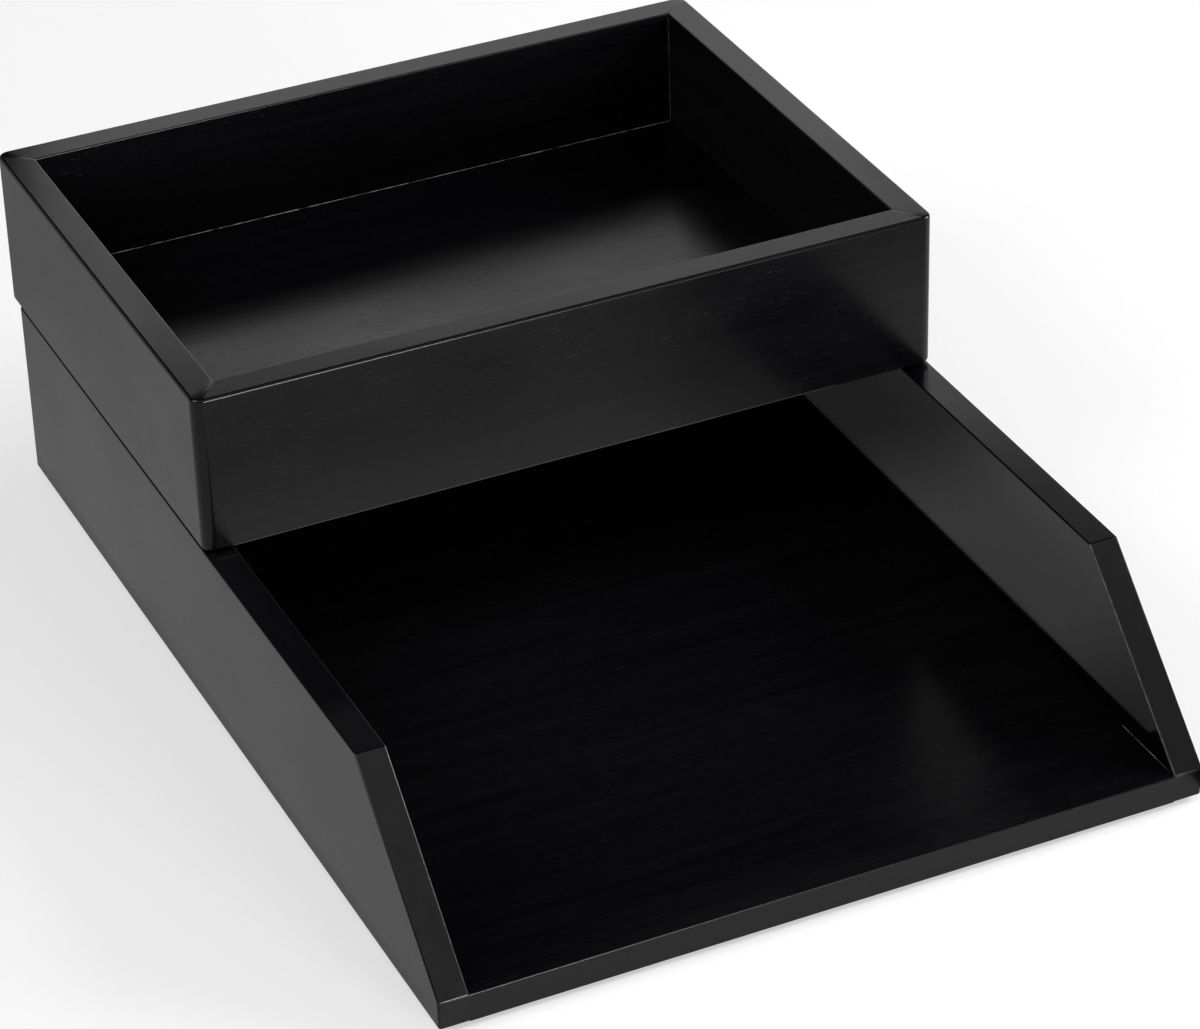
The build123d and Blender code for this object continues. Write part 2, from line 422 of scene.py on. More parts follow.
def bare_beech():
    """Beech, planed and left bare.

    To the eye it is a pinkish tan with short darker ray flecks and a dry surface.
    """
    finish = bpy.context.scene.desk_trays.finish
    material, tree = new_material("bare_planed_beech")
    # Ray flecks 2 mm long and 0.4 mm wide, along the upright grain
    steps = vector_node(tree, "MULTIPLY", object_place(tree), per_metre(2, 2.0, 0.4))
    flecks = noise(tree, steps, 1.0, 2.0)
    dark = tuple(0.55 * c for c in finish.beech)
    shade = blend(tree, ranged(tree, flecks, 0.5, 0.7), finish.beech, dark)
    surface(tree, shade, 0.65, flecks, 0.05 * MM)
    return material


def seen_as_background(tree, mirrored=1.0):
    """1 for what the camera or a refraction sees, a share of it for a reflection, and 0 for
    light that falls."""
    rays = node(tree, "ShaderNodeLightPath").outputs
    seen = math_node(tree, "MULTIPLY_ADD", rays["Is Glossy Ray"], mirrored, rays["Is Camera Ray"])
    return math_node(tree, "ADD", seen, rays["Is Transmission Ray"], use_clamp=True)


def painted_floor(colour_value, mirrored):
    """A studio floor, rolled with matt white paint.

    To the eye it is an even white that keeps the soft shadow of what stands on it.
    """
    material, tree = new_material("matt_white_floor_paint")
    # Just enough of its own light, to the camera and in reflections, to reach white
    glow = math_node(tree, "MULTIPLY", seen_as_background(tree, mirrored), FLOOR_GLOW)
    plain = node(tree, "ShaderNodeBsdfDiffuse", {"Color": (*colour_value, 1)})
    white = node(tree, "ShaderNodeEmission", {"Color": (1, 1, 1, 1), "Strength": glow})
    both = node(tree, "ShaderNodeAddShader", {0: plain, 1: white})
    node(tree, "ShaderNodeOutputMaterial", {"Surface": both})
    return material


def mesh_object(name, bm):
    """A new object at the origin from a bmesh, which is freed."""
    mesh = bpy.data.meshes.new(name)
    bm.to_mesh(mesh)
    bm.free()
    obj = bpy.data.objects.new(name, mesh)
    bpy.context.scene.collection.objects.link(obj)
    return obj


def settle(obj):
    """Gives an object its evaluated mesh and takes its modifiers off."""
    graph = bpy.context.evaluated_depsgraph_get()
    mesh = bpy.data.meshes.new_from_object(obj.evaluated_get(graph), depsgraph=graph)
    obj.modifiers.clear()
    obj.data = mesh
    mesh.name = obj.name


def span(node_name):
    """Lowest and highest corner of a CAD node."""
    low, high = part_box(node_name)
    return Vector(low), Vector(high)


def block(low, high):
    """A plain box as a bmesh."""
    bm = bmesh.new()
    bmesh.ops.create_cube(bm, size=1.0)
    for vertex in bm.verts:
        vertex.co = [low[i] + (vertex.co[i] + 0.5) * (high[i] - low[i]) for i in range(3)]
    return bm


def cut(obj, bm, operation="DIFFERENCE"):
    """Cuts a bmesh out of an object, or joins it on."""
    tool = mesh_object(obj.name + "_tool", bm)
    modifier = obj.modifiers.new("cut", "BOOLEAN")
    modifier.operation = operation
    modifier.solver = "EXACT"
    modifier.object = tool
    settle(obj)
    bpy.data.objects.remove(tool)


def cut_slots(obj, tenons, gap):
    """Cuts the slots of some loose tenons: merged copies of them, a little larger."""
    slots = bmesh.new()
    for name in tenons:
        slots.from_mesh(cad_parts[name].data)
    bmesh.ops.remove_doubles(slots, verts=slots.verts, dist=NEAR)
    slots.normal_update()
    grown_places = [v.co + v.normal * gap * CORNER_REACH for v in slots.verts]
    for vertex, place in zip(slots.verts, grown_places):
        vertex.co = place
    cut(obj, slots)


def tongue_band(gap=0.0):
    """Lowest and highest Z of the base board's tongue, with a gap below and above it."""
    low, high = span("tray_base_board")
    middle = (low.z + high.z) / 2
    half = bpy.context.scene.desk_trays.tray.tongue_thickness / 2 + gap
    return middle - half, middle + half


def ease_edges(obj, rounding):
    """Rounds edges of an object. rounding is a function from an edge to its radius."""
    bm = bmesh.new()
    bm.from_mesh(obj.data)
    bmesh.ops.remove_doubles(bm, verts=bm.verts, dist=MERGED)
    radii = [rounding(edge) for edge in bm.edges]
    weights = bm.edges.layers.float.new("bevel_weight_edge")
    for edge, radius in zip(bm.edges, radii):
        edge[weights] = radius / max(radii)
    bm.to_mesh(obj.data)
    bm.free()
    modifier = obj.modifiers.new("ease", "BEVEL")
    modifier.limit_method = "WEIGHT"
    modifier.offset_type = "OFFSET"
    modifier.width = max(radii)
    modifier.segments = EASE_STEPS
    settle(obj)


def inward(bm):
    """The way from a standing board's outer face to its inner face. A flat board has none."""
    low, high = (
        Vector([pick(v.co[i] for v in bm.verts) for i in range(3)]) for pick in (min, max)
    )
    size, middle = high - low, (low + high) / 2
    way = Vector((0, 0, 0))
    if size.z > min(size.x, size.y):
        axis = 0 if size.x < size.y else 1
        way[axis] = math.copysign(1.0, STACK_MIDDLE[axis] - middle[axis])
    return way


def width(face):
    """How wide a face is across its longest edge."""
    return face.calc_area() / max(edge.calc_length() for edge in face.edges)


def wear_and_highlight(vertex, way, level_edge_line):
    """How light the edge line is at a vertex, partly thin stain and partly a painted highlight: it
    is only within an upper edge on the inner side.
    """
    normal = vertex.normal
    faces_in = normal.z > LEAN["up"] and normal.dot(way) > LEAN["inward"]
    if not faces_in or any(width(face) >= EDGE_LINE_STRIP for face in vertex.link_faces):
        return 0.0
    # The slants of the tray's sides carry the lighter line all the way
    return 1.0 if normal.y < -LEAN["forward"] and way.x else level_edge_line


def is_porous(face):
    """Whether a face is broad, and so not a rim, a slant or a rounded edge."""
    return width(face) > (RIM_WIDTH if face.normal.z > LEAN["level"] else NARROW)


def shading(bm):
    """A normal for each face corner: broad faces stay flat, and narrow ones blend into them."""
    normals = []
    for face in bm.faces:
        for vertex in face.verts:
            near = [f for f in vertex.link_faces if f.normal.dot(face.normal) > SMOOTH_WITHIN]
            largest = max(near, key=lambda f: f.calc_area())
            if width(largest) > MM:
                normals.append(largest.normal.copy())
            else:
                normals.append(sum((f.normal for f in near), Vector((0, 0, 0))).normalized())
    return normals


def finish_board(obj, number, body, replaced):
    """Gives a board its marks for the finish, smooth shading and its place in the model."""
    # The board's stain lightness, partly painted light and shade
    tone = BOARD_STAIN_AND_PAINTED_SHADE[replaced]
    bm = bmesh.new()
    bm.from_mesh(obj.data)
    bmesh.ops.remove_doubles(bm, verts=bm.verts, dist=MERGED)
    bmesh.ops.dissolve_degenerate(bm, edges=bm.edges, dist=MERGED)
    bmesh.ops.recalc_face_normals(bm, faces=bm.faces)
    board_number = bm.verts.layers.float.new("board_number")
    board_tone = bm.verts.layers.float.new("board_tone")
    worn_and_highlit = bm.verts.layers.float.new("worn_and_highlit")
    porous = bm.faces.layers.float.new("porous")
    bm.normal_update()
    way = inward(bm)
    for vertex in bm.verts:
        vertex[board_number] = number
        vertex[board_tone] = tone
        vertex[worn_and_highlit] = wear_and_highlight(vertex, way, EDGE_WEAR_AND_HIGHLIGHT.get(replaced, 0.0))
    for face in bm.faces:
        face[porous] = float(is_porous(face))
    normals = shading(bm)
    bm.to_mesh(obj.data)
    bm.free()
    obj.data.shade_smooth()
    obj.data.normals_split_custom_set(normals)
    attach(obj, body)
    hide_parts(replaced)


def geometry_tree(name, **sockets):
    """A new Geometry Nodes tree with the named inputs, and the sockets that give them."""
    tree = bpy.data.node_groups.new(name, "GeometryNodeTree")
    tree.interface.new_socket("Geometry", in_out="OUTPUT", socket_type="NodeSocketGeometry")
    for key, kind in sockets.items():
        tree.interface.new_socket(
            key.replace("_", " ").title(), in_out="INPUT", socket_type="NodeSocket" + kind,
        )
    return tree, tree.nodes.new("NodeGroupInput").outputs


def grown(name, tree, base, **values):
    """Runs a Geometry Nodes tree on a base mesh and returns the object with its plain mesh."""
    obj = mesh_object(name, base)
    modifier = obj.modifiers.new(tree.name, "NODES")
    modifier.node_group = tree
    for socket in tree.interface.items_tree:
        key = socket.name.lower().replace(" ", "_")
        if socket.in_out == "INPUT" and key in values:
            modifier[socket.identifier] = values[key]
    settle(obj)
    return obj


def realized(tree, geometry):
    """Turns instances into plain geometry."""
    return node(tree, "GeometryNodeRealizeInstances", {"Geometry": geometry})


def copies(tree, points, instance, **inputs):
    """A copy of an instance on each point, as plain geometry."""
    return realized(tree, node(
        tree, "GeometryNodeInstanceOnPoints", {"Points": points, "Instance": instance, **inputs},
    ))


def joined(tree, *parts):
    """Parts in one plain geometry."""
    whole = node(tree, "GeometryNodeJoinGeometry")
    for part in parts:
        tree.links.new(part.outputs[0], whole.inputs[0])
    return realized(tree, whole)


def moved(tree, geometry, **inputs):
    """A geometry with its points at another Position, or moved by an Offset."""
    return node(tree, "GeometryNodeSetPosition", {"Geometry": geometry, **inputs})


def drawn(tree, kind, seed, inputs):
    """A random value for each point."""
    return node(tree, "FunctionNodeRandomValue", {**inputs, "Seed": seed}, data_type=kind)


def random_vector(tree, low, high, seed):
    """A vector between two others, drawn for each point."""
    return drawn(tree, "FLOAT_VECTOR", seed, {0: low, 1: high})


def end_tree(tree, geometry, material):
    """Ends a Geometry Nodes tree with a geometry in its material."""
    whole = node(tree, "GeometryNodeSetMaterial", {"Geometry": geometry, "Material": material})
    node(tree, "NodeGroupOutput", {0: whole})
    return tree


def rounded(centre, radius, start_degrees):
    """Points of a quarter circle, anticlockwise from a start angle."""
    angles = [math.radians(start_degrees + 90 * i / EASE_STEPS) for i in range(EASE_STEPS + 1)]
    return [(centre[0] + radius * math.cos(a), centre[1] + radius * math.sin(a)) for a in angles]


def board_section(thickness, height, outer_top, inner_top, outer_low, groove):
    """A board's cross-section as a ring of edges: x is the depth from its outer face, y its
    height. groove is the depth at which it ends, and its low and high side."""
    end, low, high = groove
    points = [(thickness, 0), (thickness, low), (end, low), (end, high), (thickness, high)]
    points += rounded((thickness - inner_top, height - inner_top), inner_top, 0)
    points += rounded((outer_top, height - outer_top), outer_top, 90)
    points += rounded((outer_low, outer_low), outer_low, 180)
    ring = bmesh.new()
    corners = [ring.verts.new((x, y, 0)) for x, y in points]
    for a, b in zip(corners, corners[1:] + corners[:1]):
        ring.edges.new((a, b))
    return ring


def mitred_board_tree():
    """Sweeps a board's cross-section from mitre to mitre, round half of each outer corner."""
    tree, size = geometry_tree(
        "mitred_board", section="Geometry", length="Float", corner_radius="Float",
        mitre_gap="Float", start="Vector", turn="Float", material="Material",
    )
    maths = partial(math_node, tree)
    section = node(tree, "GeometryNodeMeshToCurve", {"Mesh": size["Section"]})
    line = node(tree, "GeometryNodeCurvePrimitiveLine", {"Start": (-1, 0, 0), "End": (1, 0, 0)})
    path = node(tree, "GeometryNodeResampleCurve", {"Curve": line, "Count": STATIONS})
    swept = node(
        tree, "GeometryNodeCurveToMesh",
        {"Curve": path, "Profile Curve": section, "Fill Caps": True},
    )
    # The sweep lays the section's depth along -Y and its height along -Z
    at = node(tree, "ShaderNodeSeparateXYZ", {0: node(tree, "GeometryNodeInputPosition")}).outputs
    depth = maths("MULTIPLY", at["Y"], -1.0)
    height = maths("MULTIPLY", at["Z"], -1.0)
    from_end = maths("SUBTRACT", 1.0, maths("ABSOLUTE", at["X"]))
    turned = ranged(tree, from_end, 0.0, ARC_SHARE, 1.0, 0.0)
    angle = maths("MULTIPLY", turned, math.pi / 4)
    along = ranged(tree, from_end, ARC_SHARE, 1.0)
    # Depths within the corner radius go round its centre; deeper ones meet at a sharp corner
    radius = maths("MAXIMUM", maths("SUBTRACT", size["Corner Radius"], depth), 0.0)
    centre = maths("MAXIMUM", size["Corner Radius"], depth)
    sharp = maths("LESS_THAN", radius, MERGED)
    # The stations that would lie on one spot there are spread over a millimetre
    spread = maths("MULTIPLY", maths("SUBTRACT", 1.0, turned), maths("MULTIPLY", sharp, MM))
    arc_x = maths("SUBTRACT", centre, maths("MULTIPLY", radius, maths("SINE", angle)))
    arc_x = maths("ADD", maths("ADD", arc_x, spread), size["Mitre Gap"])
    arc_y = maths("SUBTRACT", centre, maths("MULTIPLY", radius, maths("COSINE", angle)))
    half = maths("MULTIPLY", size["Length"], 0.5)
    half_x = maths("MULTIPLY_ADD", along, maths("SUBTRACT", half, arc_x), arc_x)
    side = maths("SIGN", at["X"])
    board_x = maths("MULTIPLY_ADD", side, maths("SUBTRACT", half, half_x), half)
    laid = node(tree, "ShaderNodeCombineXYZ", {"X": board_x, "Y": arc_y, "Z": height})
    spun = node(
        tree, "ShaderNodeVectorRotate", {"Vector": laid, "Angle": size["Turn"]},
        rotation_type="Z_AXIS",
    )
    placed = vector_node(tree, "ADD", spun, size["Start"])
    return end_tree(tree, realized(tree, moved(tree, swept, Position=placed)), size["Material"])


def shared(collection, name, make):
    """A tree or material that several operators use, made the first time it is wanted."""
    return collection.get(name) or make()


def wood(axis):
    """Stained wood with its grain along X, 0, or along Y, 1."""
    name = "black_stained_rubberwood_" + ("across", "lengthwise")[axis]
    return shared(bpy.data.materials, name, lambda: stained_wood(name, axis))


def mitred_board(name, section, along, start, quarter_turns, radius, mitre_gap):
    """A board with mitred ends, from its outer corner in the direction of its turns."""
    return grown(
        name, shared(bpy.data.node_groups, "mitred_board", mitred_board_tree), section,
        length=along, start=start, turn=quarter_turns * math.pi / 2,
        corner_radius=radius, mitre_gap=mitre_gap / 2, material=wood(quarter_turns % 2),
    )


class DESKTRAYS_OT_box_walls(bpy.types.Operator):
    """Make the four mitred walls of the supply box, grooved for its floor"""

    bl_idname = "desk_trays.box_walls"
    bl_label = "Supply box walls"

    def execute(self, context):
        box, joints = context.scene.desk_trays.box, context.scene.desk_trays.joints
        low, inner = span("box_left_wall")
        thickness = inner.x - low.x
        high = span("box_right_wall")[1]
        front, rear = span("box_front_wall")[0].y, span("box_rear_wall")[1].y
        floor = span("box_floor_panel")[0]
        groove = (
            floor.x - joints.groove_end_gap - low.x,
            floor.z - low.z,
            floor.z + box.floor_edge + joints.glue_gap - low.z,
        )
        across, deep = high.x - low.x, rear - front
        walls = (
            ("front", (low.x, front), across, ("front_left", "front_right")),
            ("right", (high.x, front), deep, ("front_right", "rear_right")),
            ("rear", (high.x, rear), across, ("rear_right", "rear_left")),
            ("left", (low.x, rear), deep, ("rear_left", "front_left")),
        )
        for number, (name, start, along, corners) in enumerate(walls):
            section = board_section(
                thickness, high.z - low.z, box.outer_ease, box.rim_ease, box.outer_ease, groove,
            )
            board = mitred_board(
                f"box_{name}_board", section, along, (*start, low.z), number,
                box.corner_radius, joints.mitre_gap,
            )
            cut_slots(board, [f"box_tenon_{corner}" for corner in corners], joints.glue_gap)
            finish_board(board, number + 1, "supply_box", f"box_{name}_wall")
        return {"FINISHED"}


class DESKTRAYS_OT_tray_back(bpy.types.Operator):
    """Make the letter tray's back panel, mitred between the two sides"""

    bl_idname = "desk_trays.tray_back"
    bl_label = "Letter tray back"

    def execute(self, context):
        tray, joints = context.scene.desk_trays.tray, context.scene.desk_trays.joints
        low, high = span("tray_back_panel")
        thickness = high.y - low.y
        left, right = span("tray_left_side")[0].x, span("tray_right_side")[1].x
        groove_end = thickness - tray.tongue_length - joints.groove_end_gap
        groove = (groove_end, *(z - low.z for z in tongue_band(joints.glue_gap)))
        section = board_section(
            thickness, high.z - low.z, tray.rim_ease, tray.rim_ease, tray.outer_ease, groove,
        )
        board = mitred_board(
            "tray_back_board", section, right - left, (right, high.y, low.z), 2,
            tray.corner_radius, joints.mitre_gap,
        )
        cut_slots(board, ("tray_tenon_rear_left", "tray_tenon_rear_right"), joints.glue_gap)
        finish_board(board, 5, "letter_tray", "tray_back_panel")
        return {"FINISHED"}


class DESKTRAYS_OT_tray_sides(bpy.types.Operator):
    """Make the letter tray's two sides, slanted at the front and mitred at the rear"""

    bl_idname = "desk_trays.tray_sides"
    bl_label = "Letter tray sides"

    def execute(self, context):
        tray, joints = context.scene.desk_trays.tray, context.scene.desk_trays.joints
        base_top, rear = span("tray_base_board")[1].z, span("tray_back_panel")[1].y
        for number, (name, side) in enumerate((("left", -1), ("right", 1))):
            low, high = span(f"tray_{name}_side")
            # The rounded corner lets the side end a little before the back panel's face
            high.y = rear
            thickness = high.x - low.x
            outer = high.x if side > 0 else low.x
            inner = outer - side * thickness
            radius, gap = tray.corner_radius, joints.mitre_gap / 2
            plan = [(outer, low.y), (outer, high.y - radius)]
            for step in range(1, EASE_STEPS + 1):
                angle = math.pi / 4 * step / EASE_STEPS
                plan.append((
                    outer - side * radius * (1 - math.cos(angle)),
                    high.y - radius + radius * math.sin(angle) - gap * step / EASE_STEPS,
                ))
            plan += [(inner, high.y - thickness - gap), (inner, low.y)]
            slant = Vector((0, base_top - high.z, tray.slant_run)).normalized()
            slant_foot, slant_top = Vector((0, low.y, base_top)), low.y + tray.slant_run
            bm = bmesh.new()
            below = [bm.verts.new((x, y, low.z)) for x, y in plan]
            above = [bm.verts.new((x, max(y, slant_top), high.z)) for x, y in plan]
            toes = [bm.verts.new((x, low.y, base_top)) for x in (outer, inner)]
            for face in (
                below, above,
                (below[0], below[1], above[1], above[0], toes[0]),
                *zip(below[1:-2], below[2:-1], above[2:-1], above[1:-2]),
                (below[-2], below[-1], toes[1], above[-1], above[-2]),
                (below[-1], below[0], toes[0], toes[1]),
                (toes[1], toes[0], above[0], above[-1]),
            ):
                bm.faces.new(face)
            bmesh.ops.recalc_face_normals(bm, faces=bm.faces)
            board = mesh_object(f"tray_{name}_board", bm)
            board.data.materials.append(wood(1))

            def rounding(edge):
                """Rim and slant edges, then the outer lower and front edges. The mitre's own
                edges stay sharp."""
                a, b = (v.co for v in edge.verts)
                middle, long = (a + b) / 2, (b - a).length
                on_slant = abs(slant.dot(middle - slant_foot)) < NEAR
                on_top = abs(middle.z - high.z) < NEAR
                # The mitre's edge runs at 45 degrees and is longer than a step of the corner
                at_mitre = abs(b.x - a.x) > 0.6 * long and long > thickness / 2
                if on_slant or (on_top and not at_mitre):
                    return tray.rim_ease
                at_front = abs(middle.y - low.y) < NEAR
                at_outside = abs(middle.x - outer) < NEAR
                at_corner = middle.y > high.y - radius and long < radius
                at_bottom = abs(middle.z - low.z) < NEAR
                if at_bottom and (at_front or at_outside or at_corner):
                    return tray.outer_ease
                return tray.outer_ease if at_front and at_outside else 0.0

            ease_edges(board, rounding)
            reach = tray.tongue_length + joints.groove_end_gap
            groove_x = sorted((inner + side * reach, inner - side * thickness))
            groove_y = (low.y + tray.tongue_stop - joints.glue_gap, high.y - thickness + reach)
            cut(board, block(*zip(groove_x, groove_y, tongue_band(joints.glue_gap))))
            cut_slots(board, [f"tray_tenon_rear_{name}"], joints.glue_gap)
            finish_board(board, 6 + number, "letter_tray", f"tray_{name}_side")
        return {"FINISHED"}


class DESKTRAYS_OT_tray_base(bpy.types.Operator):
    """Make the letter tray's base board with a tongue on three edges"""

    bl_idname = "desk_trays.tray_base"
    bl_label = "Letter tray base"

    def execute(self, context):
        tray = context.scene.desk_trays.tray
        low, high = span("tray_base_board")
        reach = tray.tongue_length
        board = mesh_object("tray_bottom_board", block(
            (low.x + reach, low.y, low.z), (high.x - reach, high.y - reach, high.z),
        ))
        board.data.materials.append(wood(0))

        def rounding(edge):
            """The two long edges at the front."""
            a, b = (v.co for v in edge.verts)
            at_front = max(abs(a.y - low.y), abs(b.y - low.y)) < NEAR
            return tray.rim_ease if at_front and abs(a.z - b.z) < NEAR else 0.0

        ease_edges(board, rounding)
        tongue_y = (low.y + tray.tongue_stop, high.y)
        cut(board, block(*zip((low.x, high.x), tongue_y, tongue_band())), "UNION")
        finish_board(board, 8, "letter_tray", "tray_base_board")
        return {"FINISHED"}


class DESKTRAYS_OT_box_floor(bpy.types.Operator):
    """Make the supply box's floor panel, thin at its edges and raised between the walls"""

    bl_idname = "desk_trays.box_floor"
    bl_label = "Supply box floor"

    def execute(self, context):
        box = context.scene.desk_trays.box
        low, high = span("box_floor_panel")
        inset = span("box_left_wall")[1].x + box.floor_gap - low.x
        edge_top = low.z + box.floor_edge
        bm = bmesh.new()
        loops = []
        for margin, z in ((0, low.z), (0, edge_top), (inset, edge_top), (inset, high.z)):
            x0, y0, x1, y1 = low.x + margin, low.y + margin, high.x - margin, high.y - margin
            corners = ((x0, y0), (x1, y0), (x1, y1), (x0, y1))
            loops.append([bm.verts.new((x, y, z)) for x, y in corners])
        for below, above in zip(loops, loops[1:]):
            for i in range(4):
                j = (i + 1) % 4
                bm.faces.new((below[i], below[j], above[j], above[i]))
        bm.faces.new(loops[-1])
        bm.faces.new(loops[0][::-1])
        board = mesh_object("box_floor_board", bm)
        board.data.materials.append(wood(0))
        ease_edges(board, lambda edge: box.floor_gap if all(
            abs(v.co.z - high.z) < NEAR for v in edge.verts
        ) else 0.0)
        finish_board(board, 9, "supply_box", "box_floor_panel")
        return {"FINISHED"}


class DESKTRAYS_OT_tenons(bpy.types.Operator):
    """Give the loose tenons in the mitres their bare beech"""

    bl_idname = "desk_trays.tenons"
    bl_label = "Loose tenons"

    def execute(self, context):
        tenons = [tenon for name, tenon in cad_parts.items() if "_tenon_" in name]
        if not tenons:
            raise RuntimeError("no CAD node is a loose tenon")
        beech = bare_beech()
        for tenon in tenons:
            tenon.data.materials.clear()
            tenon.data.materials.append(beech)
        return {"FINISHED"}


def felt_disc_tree():
    """Puts a soft-edged felt disc with loose fibres on each point."""
    tree, size = geometry_tree(
        "felt_discs", centres="Geometry", radius="Float", height="Float", middle_height="Float",
        fibre_length="Float", fibres="Int", seed="Int", material="Material",
    )
    maths = partial(math_node, tree)
    body = node(
        tree, "GeometryNodeMeshCylinder",
        {"Vertices": 72, "Side Segments": 6, "Fill Segments": 14,
         "Radius": size["Radius"], "Depth": size["Height"]},
        fill_type="TRIANGLE_FAN",
    )
    centres = node(tree, "GeometryNodeMeshToPoints", {"Mesh": size["Centres"], "Radius": MM})
    discs = copies(tree, centres, body.outputs["Mesh"])
    # The cut side is pulled in by tufts 1.1 mm wide, so that it stays in the disc's own size
    place = node(tree, "GeometryNodeInputPosition")
    tufts = noise(tree, place, 1 / (1.1 * MM), 2.0)
    normal = node(tree, "GeometryNodeInputNormal")
    flat = vector_node(tree, "MULTIPLY", normal, (1, 1, 0.35))
    pulled_in = node(
        tree, "ShaderNodeVectorMath",
        {0: flat, "Scale": maths("MULTIPLY", tufts, -TUFT_DEPTH)}, operation="SCALE",
    )
    soft = moved(tree, discs, Offset=pulled_in)
    soft = node(tree, "GeometryNodeSetShadeSmooth", {"Geometry": soft, "Shade Smooth": True})
    # Loose fibres stand out of the side only
    up = node(tree, "ShaderNodeSeparateXYZ", {0: normal}).outputs["Z"]
    side_area = maths("MULTIPLY", maths("MULTIPLY", size["Radius"], 2 * math.pi), size["Height"])
    roots = node(
        tree, "GeometryNodeDistributePointsOnFaces",
        {"Mesh": soft, "Selection": maths("LESS_THAN", maths("ABSOLUTE", up), 0.5),
         "Seed": size["Seed"], "Density": maths("DIVIDE", size["Fibres"], side_area)},
    )
    fibre = node(
        tree, "GeometryNodeMeshCone",
        {"Vertices": 3, "Side Segments": 1, "Fill Segments": 1, "Radius Top": FIBRE_TIP,
         "Radius Bottom": FIBRE_ROOT, "Depth": size["Fibre Length"]},
    )
    turn = random_vector(tree, (1.15, -0.3, -3.14), (1.95, 0.3, 3.14), size["Seed"])
    long = drawn(tree, "FLOAT", size["Seed"], {2: 0.35, 3: 1.0})
    fibres = copies(
        tree, roots.outputs["Points"], fibre.outputs["Mesh"],
        Rotation=turn, Scale=long.outputs[1],
    )
    whole = joined(tree, soft, fibres)
    # Nothing stands above or below the disc
    at = node(tree, "ShaderNodeSeparateXYZ", {0: place}).outputs
    half = maths("MULTIPLY", size["Height"], 0.5)
    kept = maths("MAXIMUM", at["Z"], maths("SUBTRACT", size["Middle Height"], half))
    kept = maths("MINIMUM", kept, maths("ADD", size["Middle Height"], half))
    pressed = node(tree, "ShaderNodeCombineXYZ", {"X": at["X"], "Y": at["Y"], "Z": kept})
    return end_tree(tree, moved(tree, whole, Position=pressed), size["Material"])


class DESKTRAYS_OT_felt_discs(bpy.types.Operator):
    """Make the felt feet under the letter tray and the felt pads under the supply box"""

    bl_idname = "desk_trays.felt_discs"
    bl_label = "Felt feet and pads"

    def execute(self, context):
        felt = context.scene.desk_trays.felt
        tree, material = felt_disc_tree(), pressed_felt()
        for seed, (name, prefix, body) in enumerate((
            ("tray_felt_feet", "tray_foot_", "letter_tray"),
            ("box_felt_pads", "box_pad_", "supply_box"),
        )):
            nodes = sorted(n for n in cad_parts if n.startswith(prefix))
            if not nodes:
                raise RuntimeError(f"no CAD node starts with {prefix}")
            centres = bmesh.new()
            for disc in nodes:
                low, high = span(disc)
                centres.verts.new((low + high) / 2)
            size = high - low
            discs = grown(
                name, tree, centres, radius=size.x / 2, height=size.z, fibres=felt.fibres,
                seed=seed + 11, fibre_length=min(felt.fibre_length, size.z),
                middle_height=(low.z + high.z) / 2, material=material,
            )
            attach(discs, body)
            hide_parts(*nodes)
        return {"FINISHED"}


def glue_line_tree():
    """Lays an uneven bead along each joint line, with loose flecks on it."""
    tree, size = geometry_tree(
        "glue_lines", joint_lines="Geometry", bead_radius="Float", fleck_spacing="Float",
        seed="Int", material="Material",
    )
    seed = size["Seed"]
    lines = node(tree, "GeometryNodeMeshToCurve", {"Mesh": size["Joint Lines"]})
    path = node(
        tree, "GeometryNodeResampleCurve",
        {"Curve": lines, "Length": size["Fleck Spacing"]}, mode="LENGTH",
    )
    # Thick and thin stretches about 9 mm long
    runs = noise(tree, node(tree, "GeometryNodeInputPosition"), 1 / (9 * MM), 4.0)
    thick = ranged(tree, runs, 0.35, 0.7, 0.45, 1.0)
    ring = node(
        tree, "GeometryNodeCurvePrimitiveCircle", {"Resolution": 6, "Radius": size["Bead Radius"]},
        mode="RADIUS",
    )
    bead = node(
        tree, "GeometryNodeCurveToMesh",
        {"Curve": path, "Profile Curve": ring.outputs["Curve"], "Scale": thick,
         "Fill Caps": True},
    )
    points = node(
        tree, "GeometryNodeCurveToPoints",
        {"Curve": lines, "Length": size["Fleck Spacing"]}, mode="LENGTH",
    )
    jitter = random_vector(tree, (-FLECK_REACH,) * 3, (FLECK_REACH,) * 3, seed)
    loose = moved(tree, points.outputs["Points"], Offset=jitter)
    gone = drawn(tree, "BOOLEAN", seed, {"Probability": FLECKS_GONE})
    kept = node(
        tree, "GeometryNodeDeleteGeometry",
        {"Geometry": loose, "Selection": gone.outputs[3]}, domain="POINT",
    )
    grain = node(tree, "GeometryNodeMeshIcoSphere", {"Radius": FLECK_RADIUS, "Subdivisions": 1})
    flecks = copies(
        tree, kept, grain.outputs["Mesh"],
        Rotation=random_vector(tree, (0, 0, 0), (6.28, 6.28, 6.28), seed),
        Scale=random_vector(tree, (0.3, 0.25, 0.2), (1.3, 0.9, 0.6), seed),
    )
    return end_tree(tree, joined(tree, bead, flecks), size["Material"])


